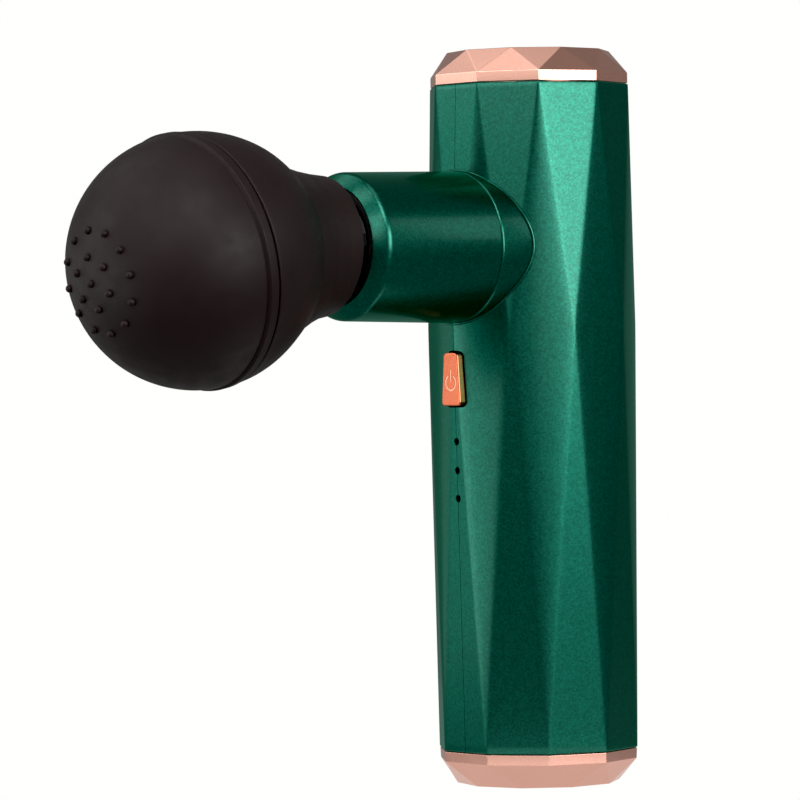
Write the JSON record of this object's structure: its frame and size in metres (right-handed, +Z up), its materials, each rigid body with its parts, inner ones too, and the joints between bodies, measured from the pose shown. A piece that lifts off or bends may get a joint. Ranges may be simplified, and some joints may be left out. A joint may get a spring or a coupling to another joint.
{
  "type": "massage gun",
  "caption": "Handheld percussion massager: faceted handle with capped ends, side barrel, reciprocating push rod and a push-on ball head with raised nubs.",
  "frame": {"origin": "centre of the bottom cap's flat face, on the handle's axis", "axes": "+Z up along the handle, -Y along the barrel towards the head, +X to the right seen from the head's side"},
  "size_m": [0.0544, 0.1441, 0.1608],
  "materials": {
    "green_paint": "satin metallic green paint with a fine grain",
    "rose_gold": "satin rose gold anodising, finely blasted",
    "copper_button": "semi-gloss copper-rose plating",
    "head_rubber": "matte brown-black silicone rubber",
    "black_rubber": "matte black rubber",
    "dark_lens": "smoked, near black",
    "steel": "ground steel",
    "cast_alloy": "die cast, as cast",
    "rod_alloy": "turned and milled, black anodised",
    "bronze": "sintered bronze",
    "magnet": "dull sintered magnet",
    "enamel_wire": "varnished copper wire",
    "white_plastic": "natural nylon",
    "black_plastic": "moulded black nylon",
    "circuit_board": "green solder mask",
    "cell_wrap": null,
    "nickel": "nickel strip",
    "red_wire": "silicone insulation",
    "black_wire": "silicone insulation",
    "foam": "closed-cell foam"
  },
  "bodies": {
    "handle": {"handle_shell_left": "green_paint", "handle_shell_right": "green_paint", "barrel_collar": "green_paint", "barrel_sleeve": "green_paint", "top_cap": "rose_gold", "bottom_cap": "rose_gold", "barrel_front_seal": "black_rubber", "button_gasket": "black_rubber", "indicator_lens_1": "dark_lens", "indicator_lens_2": "dark_lens", "indicator_lens_3": "dark_lens", "usb_c_socket": "steel", "lower_motor_bearing": "steel", "upper_motor_bearing": "steel", "motor_stator": "steel", "motor_screw_1": "steel", "motor_screw_2": "steel", "motor_screw_3": "steel", "motor_screw_4": "steel", "bushing_screw_1": "steel", "bushing_screw_2": "steel", "board_screw_1": "steel", "board_screw_2": "steel", "chassis_frame": "cast_alloy", "motor_base": "cast_alloy", "rod_bushing": "bronze", "motor_windings": "enamel_wire", "indicator_led_1": "white_plastic", "indicator_led_2": "white_plastic", "indicator_led_3": "white_plastic", "motor_connector": "white_plastic", "battery_connector": "white_plastic", "battery_cradle": "black_plastic", "tact_switch_body": "black_plastic", "controller_chip": "black_plastic", "main_board": "circuit_board", "charge_board": "circuit_board", "battery_cell_left": "cell_wrap", "battery_cell_right": "cell_wrap", "battery_tab_left": "nickel", "battery_tab_right": "nickel", "battery_link": "nickel", "battery_lead_red": "red_wire", "charge_lead": "red_wire", "battery_lead_black": "black_wire", "motor_lead": "black_wire"},
    "push_rod": {"push_rod": "rod_alloy"},
    "rotor": {"rotor_bell": "steel", "rotor_magnet_ring": "magnet", "motor_shaft": "steel", "crank_disc": "steel", "crank_pin": "steel"},
    "crank_roller": {"crank_roller": "bronze"},
    "massage_head": {"head_plug": "black_plastic", "plug_o_ring": "black_rubber", "head_core": "foam", "head_rear_bell": "head_rubber", "head_front_dome": "head_rubber"},
    "power_button": {"power_button": "copper_button"},
    "switch_plunger": {"tact_switch_plunger": "white_plastic"}
  },
  "joints": [
    {"name": "head_stroke", "type": "slide", "parent": "handle", "child": "push_rod", "axis": [0, -1, 0], "range_m": [-0.0035, 0.0035]},
    {"name": "rotor_spin", "type": "hinge", "parent": "handle", "child": "rotor", "pos_m": [0, 0, 0.1228], "axis": [0, 0, 1], "continuous": true},
    {"name": "roller_spin", "type": "hinge", "parent": "rotor", "child": "crank_roller", "pos_m": [0.0035, 0, 0.1177], "axis": [0, 0, 1], "continuous": true},
    {"name": "head_pull_off", "type": "slide", "parent": "push_rod", "child": "massage_head", "axis": [0, -1, 0], "range_m": [0, 0.03]},
    {"name": "button_press", "type": "slide", "parent": "handle", "child": "power_button", "axis": [0, 1, 0], "range_m": [0, 0.0005], "stiffness_N_per_m": 1500, "springref_m": -0.001},
    {"name": "switch_press", "type": "slide", "parent": "handle", "child": "switch_plunger", "axis": [0, 1, 0], "range_m": [0, 0.0005]}
  ],
  "couplings": [
    {"joint": "rotor_spin", "follows": "head_stroke", "rad_per_m": -349.07},
    {"joint": "switch_press", "follows": "button_press", "ratio": 1}
  ]
}
